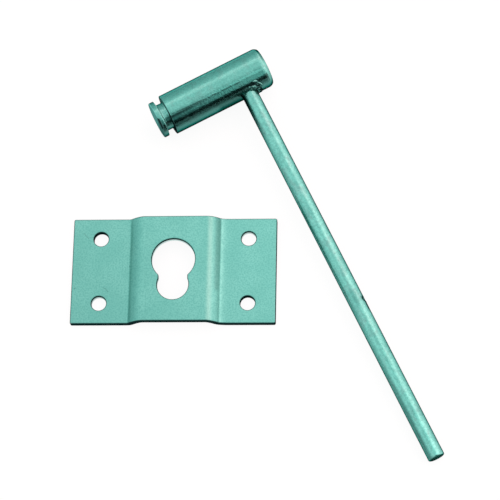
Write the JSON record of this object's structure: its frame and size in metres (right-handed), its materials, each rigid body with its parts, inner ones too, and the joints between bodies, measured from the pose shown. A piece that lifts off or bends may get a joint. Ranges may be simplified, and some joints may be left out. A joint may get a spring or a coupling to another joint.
{
  "type": "roller shutter lock",
  "caption": "Bayonet lock set for a roller shutter: folded keeper plate with a keyhole in its raised pad, and a T-bar whose flanged head hooks into it.",
  "frame": {"origin": "middle of the keeper plate's four screw holes, on the back face of its lips", "axes": "+X along the plate's length, +Y towards the large end of its keyhole, +Z out of the back face towards the raised pad; the T-bar lies beside the plate on the same plane"},
  "size_m": [0.1743, 0.2019, 0.02],
  "materials": {
    "plated_sheet": "matt plated sheet with faint mottling, darker cut edges and fine scratches",
    "turned_steel": "satin turned and plated bar with fine turning marks",
    "drawn_bar": "satin drawn and plated round bar",
    "weld_metal": "rough plated weld bead, darker in its hollows"
  },
  "bodies": {
    "root": {"keeper_plate": "plated_sheet", "lock_head": "turned_steel", "lock_rod": "drawn_bar", "weld_bead": "weld_metal"}
  },
  "joints": []
}
